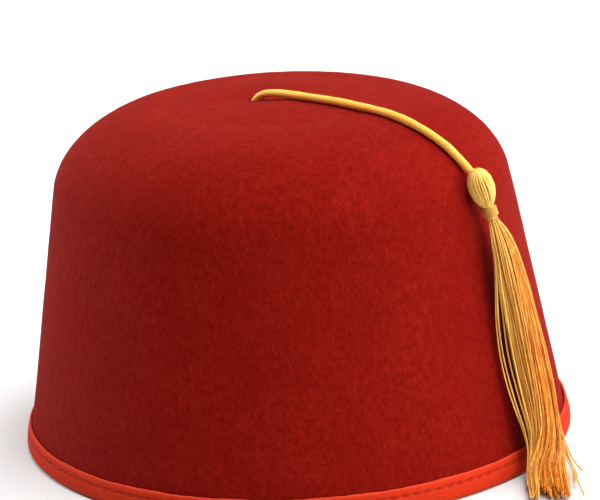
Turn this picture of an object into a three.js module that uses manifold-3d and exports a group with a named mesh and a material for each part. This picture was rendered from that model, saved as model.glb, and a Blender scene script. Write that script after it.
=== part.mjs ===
// A felt fez: crown, folded rim binding, cord, knot and tassel. Millimetres, +Z up.
// The rim's centre is the origin, on the table, and the hat's long axis is Y.
import * as THREE from 'three';
import { mergeVertices } from 'three/addons/utils/BufferGeometryUtils.js';
import Module from 'manifold-3d';

const wasm = await Module();
wasm.setup();

// Felt crown
const rimRadius = 94;          // felt's outer radius at the table, mean of the oval
const ovalShare = 0.03;        // long axis longer and short axis shorter by this share
const wallSlope = 10.17 * Math.PI / 180;
const shoulderStart = 90.3;    // height where the straight wall ends
const shoulderRise = 26.15;    // height of the rounded shoulder
const shoulderReach = 36;      // how far it comes in
const domeRise = 3;            // bulge of the top
const feltThickness = 2.5;
const aroundCrown = 60;
const wallRows = 5;
const shoulderRows = 9;
const topRadii = [31, 26, 21, 16.5, 12, 8, 4, 0];

// Folded rim binding
const tapeThickness = 0.8;
const tapeGap = 0.3;
const bindingOutside = 7.6;    // height of the outer leg
const bindingInside = 6.8;     // height of the inner leg
const foldRound = 0.7;         // rounding of the two lower corners
const feltBase = tapeThickness + tapeGap;

// Dimple where the cord comes out
const dimple = { x: -6.2, y: 2.7, depth: 2, along: 10, across: 7, turn: 137.4 * Math.PI / 180 };

// Cord
const cordRadius = 1.35;
const pieceGap = 0.3;
const cordSides = 8;
const cordSteps = 40;
const boreRadius = 1.75;       // where the cord goes into its knot and into the tassel
const boreDepth = 5;
const holeRadius = 2.3;
const holeFrom = 2;            // the hole's slant runs between these two rows of the route
const holeTo = 4;
const holePast = 2.5;          // and past both of them
const cordRoute = [
  [-5.6, 5.2, 110.0],
  [-5.6, 5.2, 112.4],
  [-5.56, 4.95, 114.3],
  [-5.46, 4.25, 116.1],
  [-5.3, 3.1, 117.6],
  [-5.1, 1.6, 118.75],
  [-4.85, -0.2, 119.6],
  [-4.5, -2.4, 120.15],
  [-3.9, -6.2, 120.45],
  [-3.2, -10.6, 120.5],
  [-2.2, -16.2, 120.35],
  [-0.7, -22.4, 120.0],
  [1.1, -28.4, 119.45],
  [2.9, -35.0, 118.6],
  [4.1, -42.0, 117.95],
  [5.3, -48.5, 117.0],
  [6.5, -54.6, 115.45],
  [7.8, -60.4, 113.2],
  [9.1, -65.4, 110.55],
  [10.5, -69.7, 107.45],
  [11.5, -72.9, 104.45],
  [12.1, -75.7, 101.85],
  [12.2, -78.6, 99.3],
  [11.9, -81.2, 97.0],
].map(([x, y, z]) => new THREE.Vector3(x, y, z));

// Knot under the hole
const knotCore = 2.9;
const knotRing = 2.4;
const knotTube = 1.45;
const knotDrop = 0.5;          // knot's centre below the cord's end
const knotTilts = [0.35, 1.25, 2.2];

// Tassel head and neck, from its top down its axis
const headCentre = new THREE.Vector3(11.9, -83.05, 95.2);
const headAxis = new THREE.Vector3(0.2, -0.185, -0.962).normalize();
const headMiddle = 6.4;        // headCentre's distance from the head's top
const headSides = 40;
const headRibs = 10;
const ribDepth = 0.07;
const headRows = [
  { down: 0, radius: 0, rib: 0 },
  { down: 0.5, radius: 1.95, rib: 0.5 },
  { down: 1.7, radius: 3.25, rib: 1 },
  { down: 4.0, radius: 4.1, rib: 1 },
  { down: 6.7, radius: 4.25, rib: 1 },
  { down: 9.4, radius: 3.75, rib: 1 },
  { down: 11.5, radius: 2.8, rib: 0.7 },
  { down: 12.9, radius: 1.65, rib: 0 },
  { down: 17.2, radius: 1.65, rib: 0 },
  { down: 17.2, radius: 0, rib: 0 },
];

// Winding on the neck
const windingFrom = 13.3;
const windingTurns = 3;
const windingThread = 1.05;
const windingIn = 1.7 + pieceGap;

// Skirt of the tassel, down the wall and onto the table
const skirtRows = [
  { x: 13.86, y: -84.86, z: 85.8, wide: 0.7, deep: 0.7, thick: 0.9, lift: 0 },
  { x: 14.45, y: -85.45, z: 82.9, wide: 1.2, deep: 1.2, thick: 1.1, lift: 0 },
  { x: 15.1, y: -87.1, z: 78.5, wide: 2.9, deep: 2.0, thick: 1.5, lift: 0 },
  { x: 15.7, y: -88.6, z: 72.0, wide: 3.9, deep: 2.8, thick: 1.8, lift: 0 },
  { x: 16.2, y: -90.4, z: 63.0, wide: 4.8, deep: 3.2, thick: 2.0, lift: 0 },
  { x: 16.9, y: -92.5, z: 52.0, wide: 5.3, deep: 3.4, thick: 2.1, lift: 0 },
  { x: 17.5, y: -94.7, z: 40.0, wide: 5.6, deep: 3.5, thick: 2.1, lift: 0 },
  { x: 18.0, y: -97.2, z: 27.0, wide: 5.7, deep: 3.5, thick: 2.1, lift: 0 },
  { x: 17.4, y: -100.0, z: 15.0, wide: 5.8, deep: 3.2, thick: 2.0, lift: 0.15 },
  { x: 15.0, y: -103.6, z: 7.0, wide: 5.8, deep: 2.4, thick: 1.8, lift: 0.5 },
  { x: 10.2, y: -108.3, z: 3.2, wide: 5.6, deep: 1.3, thick: 1.6, lift: 0.9 },
  { x: 4.0, y: -114.4, z: 2.2, wide: 5.8, deep: 0.8, thick: 1.3, lift: 1 },
  { x: -3.0, y: -121.4, z: 1.5, wide: 6.4, deep: 0.5, thick: 0.7, lift: 1 },
];
const lockSides = 6;
const lockCount = 10;         // locks round the skirt's core
const tipShort = 0.07;         // how much shorter the shortest locks are
const strayLocks = [
  { side: -1.05, bulge: -4.2, thin: 0.42 },
  { side: 1.05, bulge: 2.2, thin: 0.4 },
];
const tableClear = 0.12;

// Radius of the oval crown against the mean one, for a direction seen from above
function ovalFactor(x, y) {
  return 1 + ovalShare * Math.cos(2 * (Math.atan2(y, x) - Math.PI / 2));
}

function wallRadius(z) {
  return rimRadius - z * Math.tan(wallSlope);
}

// Outer profile of the crown as [radius, height], from the felt's lower edge to the centre
function crownProfile() {
  const rows = [];
  for (let i = 0; i < wallRows; i++) {
    const z = feltBase + (shoulderStart - feltBase) * i / wallRows;
    rows.push([wallRadius(z), z]);
  }
  for (let i = 0; i <= shoulderRows; i++) {
    const turn = Math.PI / 2 * i / shoulderRows;
    const inward = shoulderReach * (1 - Math.cos(turn)) + Math.tan(wallSlope) * shoulderRise * Math.sin(turn);
    rows.push([wallRadius(shoulderStart) - inward, shoulderStart + shoulderRise * Math.sin(turn)]);
  }
  const [edgeRadius, edgeHeight] = rows[rows.length - 1];
  for (const radius of topRadii) {
    rows.push([radius, edgeHeight + domeRise * (1 - (radius / edgeRadius) ** 2)]);
  }
  return rows;
}

// The profile moved in by a distance along its own normals
function insetProfile(rows, distance) {
  return rows.map(([radius, z], i) => {
    const before = rows[Math.max(i - 1, 0)];
    const after = rows[Math.min(i + 1, rows.length - 1)];
    const run = Math.hypot(after[0] - before[0], after[1] - before[1]);
    const normal = [(after[1] - before[1]) / run, -(after[0] - before[0]) / run];
    if (radius === 0) return [0, z - distance];
    const height = i === 0 ? z : z - distance * normal[1];
    return [radius - distance * normal[0], height];
  });
}

function revolve(profile, segments) {
  const points = profile.map(([radius, z]) => new THREE.Vector2(radius, z));
  return new THREE.LatheGeometry(points, segments).rotateX(Math.PI / 2);
}

function movePoints(geometry, change) {
  const position = geometry.attributes.position;
  const point = new THREE.Vector3();
  for (let i = 0; i < position.count; i++) {
    point.fromBufferAttribute(position, i);
    change(point);
    position.setXYZ(i, point.x, point.y, point.z);
  }
  return geometry;
}

function makeOval(point) {
  const factor = ovalFactor(point.x, point.y);
  point.x *= factor;
  point.y *= factor;
}

function dimpleDepth(x, y) {
  const dx = x - dimple.x;
  const dy = y - dimple.y;
  const along = dx * Math.cos(dimple.turn) + dy * Math.sin(dimple.turn);
  const across = dy * Math.cos(dimple.turn) - dx * Math.sin(dimple.turn);
  return dimple.depth * Math.exp(-((along / dimple.along) ** 2 + (across / dimple.across) ** 2) / 2);
}

// A closed geometry as a solid, with its faces turned outward
function solid(geometry) {
  const bare = new THREE.BufferGeometry();
  bare.setAttribute('position', geometry.attributes.position);
  if (geometry.index) bare.setIndex(geometry.index);
  const merged = mergeVertices(bare, 1e-4);
  const at = merged.attributes.position.array;
  const index = merged.index.array;
  const triangles = [];
  let volume = 0;
  for (let i = 0; i < index.length; i += 3) {
    const [a, b, c] = [index[i], index[i + 1], index[i + 2]];
    if (a === b || b === c || c === a) continue;
    triangles.push(a, b, c);
    const [ax, ay, az] = at.subarray(3 * a, 3 * a + 3);
    const [bx, by, bz] = at.subarray(3 * b, 3 * b + 3);
    const [cx, cy, cz] = at.subarray(3 * c, 3 * c + 3);
    volume += ax * (by * cz - bz * cy) + ay * (bz * cx - bx * cz) + az * (bx * cy - by * cx);
  }
  if (volume < 0) {
    for (let i = 0; i < triangles.length; i += 3) {
      [triangles[i + 1], triangles[i + 2]] = [triangles[i + 2], triangles[i + 1]];
    }
  }
  return new wasm.Manifold(new wasm.Mesh({
    numProp: 3,
    vertProperties: new Float32Array(at),
    triVerts: new Uint32Array(triangles),
  }));
}

// Only a body's outer skin, so pockets closed in between its pieces are filled
function outerShell(body) {
  return body.decompose().reduce((largest, shell) => (shell.volume() > largest.volume() ? shell : largest));
}

function namedMesh(name, body, material) {
  const result = body.getMesh();
  const geometry = new THREE.BufferGeometry();
  geometry.setAttribute('position', new THREE.BufferAttribute(new Float32Array(result.vertProperties), 3));
  geometry.setIndex(new THREE.BufferAttribute(new Uint32Array(result.triVerts), 1));
  geometry.computeVertexNormals();
  const mesh = new THREE.Mesh(geometry, material);
  mesh.name = name;
  return mesh;
}

// Turns a geometry made along +Z so that it runs along a direction, and moves it to a point
function aim(geometry, direction, point) {
  const turn = new THREE.Quaternion().setFromUnitVectors(new THREE.Vector3(0, 0, 1), direction);
  return geometry.applyQuaternion(turn).translate(point.x, point.y, point.z);
}

function circle(radius, sides) {
  const points = [];
  for (let i = 0; i < sides; i++) {
    const turn = 2 * Math.PI * (i + 0.5) / sides;
    points.push(new THREE.Vector2(radius * Math.cos(turn), radius * Math.sin(turn)));
  }
  return new THREE.Shape(points);
}

// A straight round bar between two points
function bar(from, to, radius, sides) {
  const run = new THREE.Vector3().subVectors(to, from);
  const geometry = new THREE.CylinderGeometry(radius, radius, run.length(), sides).rotateX(Math.PI / 2);
  return aim(geometry, run.clone().normalize(), from.clone().addScaledVector(run, 0.5));
}

// A closed body through rings of points, all with the same number of sides
function skin(rings) {
  const sides = rings[0].length;
  const positions = rings.flat().flatMap((point) => [point.x, point.y, Math.max(point.z, tableClear)]);
  const index = [];
  const last = (rings.length - 1) * sides;
  for (let i = 0; i < last; i += sides) {
    for (let j = 0; j < sides; j++) {
      const next = (j + 1) % sides;
      index.push(i + j, i + next, i + sides + next, i + j, i + sides + next, i + sides + j);
    }
  }
  for (let j = 1; j < sides - 1; j++) {
    index.push(0, j + 1, j, last, last + j, last + j + 1);
  }
  const geometry = new THREE.BufferGeometry();
  geometry.setAttribute('position', new THREE.Float32BufferAttribute(positions, 3));
  geometry.setIndex(index);
  return geometry;
}

function ringAt(point, side, face, wide, deep, sides) {
  const ring = [];
  for (let j = 0; j < sides; j++) {
    const turn = 2 * Math.PI * j / sides;
    ring.push(point.clone()
      .addScaledVector(side, wide * Math.cos(turn))
      .addScaledVector(face, deep * Math.sin(turn)));
  }
  return ring;
}

function crownSolid() {
  const outer = crownProfile();
  const inner = insetProfile(outer, feltThickness).reverse();
  const geometry = revolve([...outer, ...inner, outer[0]], aroundCrown);
  movePoints(geometry, makeOval);
  movePoints(geometry, (point) => {
    if (point.z > shoulderStart) point.z -= dimpleDepth(point.x, point.y);
  });
  const slant = new THREE.Vector3().subVectors(cordRoute[holeTo], cordRoute[holeFrom]).normalize();
  const from = cordRoute[holeFrom].clone().addScaledVector(slant, -holePast);
  const to = cordRoute[holeTo].clone().addScaledVector(slant, holePast);
  return solid(geometry).subtract(solid(bar(from, to, holeRadius, 16)));
}

// U-section of the tape round the felt's edge, following the wall's slope
function bindingSolid() {
  const across = feltThickness / Math.cos(wallSlope);
  const tape = tapeThickness / Math.cos(wallSlope);
  const gap = tapeGap / Math.cos(wallSlope);
  const outside = (z) => wallRadius(z) + gap + tape;
  const inside = (z) => wallRadius(z) - across - gap - tape;
  const profile = [
    [outside(0) - foldRound, 0],
    [outside(foldRound) - 0.06, foldRound],
    [outside(bindingOutside), bindingOutside],
    [outside(bindingOutside) - tape, bindingOutside],
    [outside(tapeThickness) - tape, tapeThickness],
    [inside(tapeThickness) + tape, tapeThickness],
    [inside(bindingInside) + tape, bindingInside],
    [inside(bindingInside), bindingInside],
    [inside(foldRound) + 0.06, foldRound],
    [inside(0) + foldRound, 0],
  ];
  profile.push(profile[0]);
  return solid(movePoints(revolve(profile, aroundCrown), makeOval));
}

function cordSolid() {
  const curve = new THREE.CatmullRomCurve3(cordRoute, false, 'centripetal');
  return solid(new THREE.ExtrudeGeometry(circle(cordRadius, cordSides), {
    steps: cordSteps, bevelEnabled: false, extrudePath: curve,
  }));
}

function knotSolid() {
  const centre = cordRoute[0].clone();
  centre.z -= knotDrop;
  let body = solid(new THREE.SphereGeometry(knotCore, 8, 6).translate(centre.x, centre.y, centre.z));
  for (const tilt of knotTilts) {
    const ring = new THREE.TorusGeometry(knotRing, knotTube, 6, 14).rotateX(1.1).rotateZ(tilt * 2);
    body = body.add(solid(ring.translate(centre.x, centre.y, centre.z)));
  }
  const bottom = cordRoute[0].clone().add(new THREE.Vector3(0, 0, -pieceGap));
  const mouth = cordRoute[0].clone().add(new THREE.Vector3(0, 0, boreDepth));
  return body.subtract(solid(bar(bottom, mouth, boreRadius, 14)));
}

function headSolid() {
  const geometry = revolve(headRows.map((row) => [row.radius, -row.down]), headSides);
  movePoints(geometry, (point) => {
    const spread = Math.hypot(point.x, point.y);
    const row = headRows.find((item) => Math.abs(item.down + point.z) < 1e-3 && item.radius > 0);
    if (!row || spread < 0.01) return;
    const rib = 1 + ribDepth * row.rib * Math.cos(headRibs * Math.atan2(point.y, point.x));
    point.x *= rib;
    point.y *= rib;
  });
  const top = headCentre.clone().addScaledVector(headAxis, -headMiddle);
  return solid(aim(geometry, headAxis.clone().negate(), top));
}

// Sections of the skirt: its middle, and its directions along, across and away from the hat
function skirtSections() {
  const middles = skirtRows.map((row) => new THREE.Vector3(row.x, row.y, row.z));
  return skirtRows.map((row, i) => {
    const before = middles[Math.max(i - 1, 0)];
    const after = middles[Math.min(i + 1, middles.length - 1)];
    const along = new THREE.Vector3().subVectors(after, before).normalize();
    const face = new THREE.Vector3(row.x, row.y, 0).normalize().multiplyScalar(1 - row.lift);
    face.z += row.lift;
    face.addScaledVector(along, -face.dot(along)).normalize();
    const side = new THREE.Vector3().crossVectors(face, along);
    return { ...row, middle: middles[i], side, face };
  });
}

// One lock at a place on the edge of the skirt's section
function lock(sections, across, out, { bulge = 0, thin = 1, length = 1 }) {
  const end = sections.length - 1;
  return skin(sections.map((row, i) => {
    const point = row.middle.clone();
    if (i === end) point.lerp(sections[end - 1].middle, 1 - length);
    point.addScaledVector(row.side, across * row.wide + bulge * Math.sin(Math.PI * i / end) ** 2);
    point.addScaledVector(row.face, out * row.deep);
    const radius = row.thick * (i < 2 ? 1 : thin);
    point.z = Math.max(point.z, radius + tableClear);
    return ringAt(point, row.side, row.face, radius, radius, lockSides);
  }));
}

function tasselSolid() {
  const sections = skirtSections();
  const core = sections.slice(0, -1).map((row) => (
    ringAt(row.middle, row.side, row.face, row.wide, row.deep, lockCount)));
  let body = headSolid().add(solid(skin(core)));
  for (let i = 0; i < lockCount; i++) {
    const turn = 2 * Math.PI * i / lockCount;
    const length = 1 - tipShort * ((i * 7) % lockCount);
    body = body.add(solid(lock(sections, Math.cos(turn), Math.sin(turn), { length })));
  }
  for (const { side, bulge, thin } of strayLocks) {
    body = body.add(solid(lock(sections, side, 0, { bulge, thin })));
  }
  body = outerShell(body);
  const last = cordRoute.length - 1;
  const away = new THREE.Vector3().subVectors(cordRoute[last - 1], cordRoute[last]).normalize();
  const bottom = cordRoute[last].clone().addScaledVector(away, -pieceGap);
  const mouth = cordRoute[last].clone().addScaledVector(away, boreDepth);
  return body.subtract(solid(bar(bottom, mouth, boreRadius, 14)));
}

// Turns of thread side by side, as one ring round the neck
function windingSolid() {
  const profile = [[windingIn, 0]];
  for (let i = 0; i < windingTurns; i++) {
    for (const [share, bulge] of [[0.15, 0.35], [0.5, 0.65], [0.85, 0.35]]) {
      profile.push([windingIn + bulge, -windingThread * (i + share)]);
    }
  }
  profile.push([windingIn, -windingThread * windingTurns], [windingIn, 0]);
  const place = headCentre.clone().addScaledVector(headAxis, windingFrom - headMiddle);
  return solid(aim(revolve(profile, 20), headAxis.clone().negate(), place));
}

const felt = new THREE.MeshStandardMaterial({ color: 0xa01a14, roughness: 0.95, metalness: 0 });
const tape = new THREE.MeshStandardMaterial({ color: 0xd03a28, roughness: 0.8, metalness: 0 });
const cordGold = new THREE.MeshStandardMaterial({ color: 0xdda83c, roughness: 0.55, metalness: 0 });
const tasselGold = new THREE.MeshStandardMaterial({ color: 0xd79b41, roughness: 0.5, metalness: 0 });
const threadGold = new THREE.MeshStandardMaterial({ color: 0xe6c184, roughness: 0.55, metalness: 0 });
const knotGold = new THREE.MeshStandardMaterial({ color: 0xcf9a36, roughness: 0.6, metalness: 0 });

const fez = new THREE.Group();
fez.add(
  namedMesh('crown', crownSolid(), felt),
  namedMesh('rim_binding', bindingSolid(), tape),
  namedMesh('cord', cordSolid(), cordGold),
  namedMesh('cord_knot', knotSolid(), knotGold),
  namedMesh('tassel', tasselSolid(), tasselGold),
  namedMesh('neck_winding', windingSolid(), threadGold),
);

export default fez;
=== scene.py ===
import math
import random

import bmesh
import bpy
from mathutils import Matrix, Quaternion, Vector


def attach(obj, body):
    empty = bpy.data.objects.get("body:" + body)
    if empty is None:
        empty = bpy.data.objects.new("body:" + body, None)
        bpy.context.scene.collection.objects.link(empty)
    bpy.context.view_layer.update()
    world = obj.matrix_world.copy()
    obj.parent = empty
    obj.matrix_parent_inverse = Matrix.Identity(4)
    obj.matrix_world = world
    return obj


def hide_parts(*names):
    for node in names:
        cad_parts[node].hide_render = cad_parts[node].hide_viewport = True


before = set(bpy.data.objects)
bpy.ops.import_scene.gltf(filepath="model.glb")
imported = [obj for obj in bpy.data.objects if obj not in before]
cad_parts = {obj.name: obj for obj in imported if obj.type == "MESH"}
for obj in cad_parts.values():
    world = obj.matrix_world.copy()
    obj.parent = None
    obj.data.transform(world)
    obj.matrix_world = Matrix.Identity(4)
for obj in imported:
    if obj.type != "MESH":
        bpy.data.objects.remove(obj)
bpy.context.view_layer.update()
print("frame loaded:", sorted(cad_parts))


# one output socket of a node, with + - * and / that add Math nodes
class Wire:
    def __init__(self, nodes, socket):
        self.nodes = nodes
        self.socket = socket

    def combine(self, operation, other, turned=False):
        first, second = (other, self) if turned else (self, other)
        return self.nodes.add("ShaderNodeMath", {"operation": operation}, {0: first, 1: second})

    def __add__(self, other):
        return self.combine("ADD", other)

    def __radd__(self, other):
        return self.combine("ADD", other, True)

    def __sub__(self, other):
        return self.combine("SUBTRACT", other)

    def __rsub__(self, other):
        return self.combine("SUBTRACT", other, True)

    def __mul__(self, other):
        return self.combine("MULTIPLY", other)

    def __rmul__(self, other):
        return self.combine("MULTIPLY", other, True)

    def __truediv__(self, other):
        return self.combine("DIVIDE", other)

    def __rtruediv__(self, other):
        return self.combine("DIVIDE", other, True)


# a node tree, for a material or for Geometry Nodes
class NodeTree:
    def __init__(self, tree):
        self.tree = tree

    def add(self, kind, settings=None, sockets=None, out=0):
        node = self.tree.nodes.new(kind)
        for name, value in (settings or {}).items():
            if name == "stops":
                self.setStops(node.color_ramp, value)
            else:
                setattr(node, name, value)
        for name, value in (sockets or {}).items():
            if isinstance(value, Wire):
                self.tree.links.new(value.socket, node.inputs[name])
            else:
                node.inputs[name].default_value = value
        return Wire(self, node.outputs[out]) if node.outputs else node

    def setStops(self, ramp, stops):
        while len(ramp.elements) < len(stops):
            ramp.elements.new(1.0)
        for element, (position, color) in zip(ramp.elements, stops):
            element.position = position
            element.color = color

    def math(self, operation, *values):
        return self.add("ShaderNodeMath", {"operation": operation}, dict(enumerate(values)))

    def mix(self, factor, first, second):
        return self.add("ShaderNodeMix", {"data_type": "RGBA"}, {0: factor, 6: first, 7: second}, 2)

    def noise(self, vector, scale, detail=3.0, roughness=0.5):
        sockets = {"Vector": vector, "Scale": scale, "Detail": detail, "Roughness": roughness}
        return self.add("ShaderNodeTexNoise", None, sockets)

    def ramp(self, value, *stops):
        grey = [(position, (level, level, level, 1.0)) for position, level in stops]
        return self.add("ShaderNodeValToRGB", {"stops": grey}, {0: value})

    def scaled(self, vector, scale):
        return self.add("ShaderNodeMapping", None, {"Vector": vector, "Scale": scale})


def newFinish(name):
    material = bpy.data.materials.new(name)
    material.use_nodes = True
    material.node_tree.nodes.clear()
    return material, NodeTree(material.node_tree)


# the closing shader of a finish: fixed numbers are set on the shader itself
def closeFinish(nodes, color, roughness, bump=None, depth=0.0002, strength=1.0, fixed=None):
    sockets = {"Base Color": color, "Roughness": roughness}
    sockets.update(fixed or {})
    if bump is not None:
        heights = {"Height": bump, "Distance": depth, "Strength": strength}
        sockets["Normal"] = nodes.add("ShaderNodeBump", None, heights)
    shader = nodes.add("ShaderNodeBsdfPrincipled", None, sockets)
    nodes.add("ShaderNodeOutputMaterial", None, {"Surface": shader})


def objectPlace(nodes):
    return nodes.add("ShaderNodeTexCoord", None, None, "Object")


def uvPlace(nodes):
    return nodes.add("ShaderNodeTexCoord", None, None, "UV")


def attribute(nodes, name):
    return nodes.add("ShaderNodeAttribute", {"attribute_name": name}, None, "Fac")


def newGroup(name, inputs):
    group = bpy.data.node_groups.new(name, "GeometryNodeTree")
    for label, kind in inputs:
        group.interface.new_socket(label, in_out="INPUT", socket_type="NodeSocket" + kind)
    group.interface.new_socket("Geometry", in_out="OUTPUT", socket_type="NodeSocketGeometry")
    nodes = NodeTree(group)
    entry = group.nodes.new("NodeGroupInput")
    values = {label: Wire(nodes, entry.outputs[label]) for label, kind in inputs}
    return group, nodes, values


def closeGroup(nodes, geometry, material):
    real = nodes.add("GeometryNodeRealizeInstances", None, {"Geometry": geometry})
    smooth = nodes.add("GeometryNodeSetShadeSmooth", None, {0: real})
    painted = nodes.add("GeometryNodeSetMaterial", None, {"Geometry": smooth, "Material": material})
    nodes.add("NodeGroupOutput", None, {"Geometry": painted})


def link(name, data):
    piece = bpy.data.objects.new(name, data)
    bpy.context.scene.collection.objects.link(piece)
    return piece


def evaluatedMesh(source, name):
    graph = bpy.context.evaluated_depsgraph_get()
    mesh = bpy.data.meshes.new_from_object(source.evaluated_get(graph), depsgraph=graph)
    mesh.name = name
    return mesh


# runs a Geometry Nodes group on an empty mesh and keeps the result as a plain mesh
def growMesh(name, group, values, helpers=()):
    host = link(name + "Host", bpy.data.meshes.new(name + "Host"))
    modifier = host.modifiers.new("grow", "NODES")
    modifier.node_group = group
    for item in group.interface.items_tree:
        if item.in_out == "INPUT" and item.name in values:
            modifier[item.identifier] = values[item.name]
    mesh = evaluatedMesh(host, name)
    host.modifiers.remove(modifier)
    for helper in (host, *helpers):
        bpy.data.objects.remove(helper)
    return mesh


def finishPiece(name, mesh, slotName, *nodeNames, material=None):
    if material is not None:
        mesh.materials.clear()
        mesh.materials.append(material)
    mesh.polygons.foreach_set("use_smooth", [True] * len(mesh.polygons))
    piece = link(name, mesh)
    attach(piece, "root")
    if nodeNames:
        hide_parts(*nodeNames)
    print(name, "has", sum(len(face.vertices) - 2 for face in mesh.polygons), "triangles")
    return piece


# smooth curve through points, as many samples between each pair
def smoothLine(points, samples):
    points = [Vector(point) for point in points]
    line = []
    for i in range(len(points) - 1):
        before = points[i - 1] if i else points[0] * 2 - points[1]
        after = points[i + 2] if i + 2 < len(points) else points[-1] * 2 - points[-2]
        for j in range(samples):
            t = j / samples
            bend = (points[i] - before) * (t - 2 * t * t + t ** 3)
            bend += (points[i + 1] - points[i]) * (t + 3 * t * t - 2 * t ** 3)
            bend += (after - points[i + 1]) * (t ** 3 - t * t)
            line.append(points[i] + bend * 0.5)
    line.append(points[-1])
    return line


def lineLength(line):
    return sum((b - a).length for a, b in zip(line, line[1:]))


# points at even steps along a line
def evenLine(line, count):
    total = lineLength(line)
    result = [line[0].copy()]
    walked = 0.0
    i = 0
    for n in range(1, count):
        goal = total * n / (count - 1)
        while i < len(line) - 2 and walked + (line[i + 1] - line[i]).length < goal:
            walked += (line[i + 1] - line[i]).length
            i += 1
        step = (line[i + 1] - line[i]).length
        result.append(line[i].lerp(line[i + 1], min((goal - walked) / step, 1.0)))
    return result


# directions along a line: forward, side and up, turned as little as possible
def lineFrames(line, side):
    frames = []
    for i, point in enumerate(line):
        forward = (line[min(i + 1, len(line) - 1)] - line[max(i - 1, 0)]).normalized()
        side = (side - forward * side.dot(forward)).normalized()
        frames.append((point, forward, side, forward.cross(side)))
    return frames


# mesh through rings of points, with UVs around and along
def ringMesh(name, rings, capped=True, closed=False):
    sides = len(rings[0])
    vertices = [point for ring in rings for point in ring]
    faces = []
    places = []
    rows = len(rings) if closed else len(rings) - 1
    for i in range(rows):
        below = (i + 1) % len(rings)
        for j in range(sides):
            after = (j + 1) % sides
            faces.append((i * sides + j, i * sides + after, below * sides + after, below * sides + j))
            left, right = j / sides, (j + 1) / sides
            low, high = i / rows, (i + 1) / rows
            places.append(((left, low), (right, low), (right, high), (left, high)))
    if capped and not closed:
        last = (len(rings) - 1) * sides
        faces.append(tuple(range(sides - 1, -1, -1)))
        faces.append(tuple(range(last, last + sides)))
        places.extend([((0.5, 0.0),) * sides, ((0.5, 1.0),) * sides])
    mesh = bpy.data.meshes.new(name)
    mesh.from_pydata(vertices, [], faces)
    uvs = mesh.uv_layers.new(name="UVMap")
    flat = [value for face in places for place in face for value in place]
    uvs.data.foreach_set("uv", flat)
    mesh.update()
    turnOutward(mesh)
    return mesh


def turnOutward(mesh):
    shape = bmesh.new()
    shape.from_mesh(mesh)
    bmesh.ops.recalc_face_normals(shape, faces=shape.faces)
    shape.to_mesh(mesh)
    shape.free()


def polyCurve(name, lines, closed=False):
    data = bpy.data.curves.new(name, "CURVE")
    data.dimensions = "3D"
    for line in lines:
        spline = data.splines.new("POLY")
        spline.points.add(len(line) - 1)
        spline.points.foreach_set("co", [value for point in line for value in (*point, 1.0)])
        spline.use_cyclic_u = closed
    return link(name, data)


# camera at the photo's angle
photoCamera = {
    "target": (0.0, 0.0, 0.060),
    "distance": 1.0,
    "azimuth": -42.64,
    "elevation": 16.54,
    "roll": 4.06,
    "lens": 173.83,
    "shift": (0.0238, 0.0153),
}


def viewBack(azimuth, elevation):
    turn, rise = math.radians(azimuth), math.radians(elevation)
    return Vector((math.sin(turn) * math.cos(rise), -math.cos(turn) * math.cos(rise), math.sin(rise)))


def placeCamera(view):
    data = bpy.data.cameras.new("photoCamera")
    data.sensor_width = 36.0
    data.lens = view["lens"]
    data.shift_x, data.shift_y = view["shift"]
    camera = link("photoCamera", data)
    back = viewBack(view["azimuth"], view["elevation"])
    camera.location = Vector(view["target"]) + back * view["distance"]
    lean = Quaternion((0.0, 0.0, 1.0), -math.radians(view["roll"]))
    camera.rotation_euler = (back.to_track_quat("Z", "Y") @ lean).to_euler()
    bpy.context.scene.camera = camera


placeCamera(photoCamera)
bpy.context.scene.view_settings.view_transform = "Standard"  # plain colours, as the materials have them
print("camera placed")

# gold cord, from the knot under the felt to the tassel's head, with the route of the solid
goldCord = {
    "diameter": 0.0027,
    "exit": (-0.0053, 0.0031, 0.1176),
    "route": (
        (-0.0056, 0.0052, 0.1100),
        (-0.0056, 0.0052, 0.1124),
        (-0.00556, 0.00495, 0.1143),
        (-0.00546, 0.00425, 0.1161),
        (-0.0053, 0.0031, 0.1176),
        (-0.0051, 0.0016, 0.11875),
        (-0.00485, -0.0002, 0.1196),
        (-0.0045, -0.0024, 0.12015),
        (-0.0039, -0.0062, 0.12045),
        (-0.0032, -0.0106, 0.1205),
        (-0.0022, -0.0162, 0.12035),
        (-0.0007, -0.0224, 0.1200),
        (0.0011, -0.0284, 0.11945),
        (0.0029, -0.0350, 0.1186),
        (0.0041, -0.0420, 0.11795),
        (0.0053, -0.0485, 0.1170),
        (0.0065, -0.0546, 0.11545),
        (0.0078, -0.0604, 0.1132),
        (0.0091, -0.0654, 0.11055),
        (0.0105, -0.0697, 0.10745),
        (0.0115, -0.0729, 0.10445),
        (0.0121, -0.0757, 0.10185),
        (0.0122, -0.0786, 0.0993),
        (0.0119, -0.0812, 0.0970),
    ),
    "rings": 440,
    "sides": 28,
    "carriers": 8,
    "lay": 0.0090,
    "relief": 0.05,
    "under": 0.72,  # height of the thread that passes under, as a share of the one above
    "lumps": 0.035,
}


# light scatters inside the cord's yarn, so its shaded side stays warm
yarnGlow = {
    "Subsurface Weight": 0.6,
    "Subsurface Radius": (1.0, 0.42, 0.10),
    "Subsurface Scale": 0.0014,
    "Sheen Weight": 0.05,
    "Sheen Roughness": 0.4,
}


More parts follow.
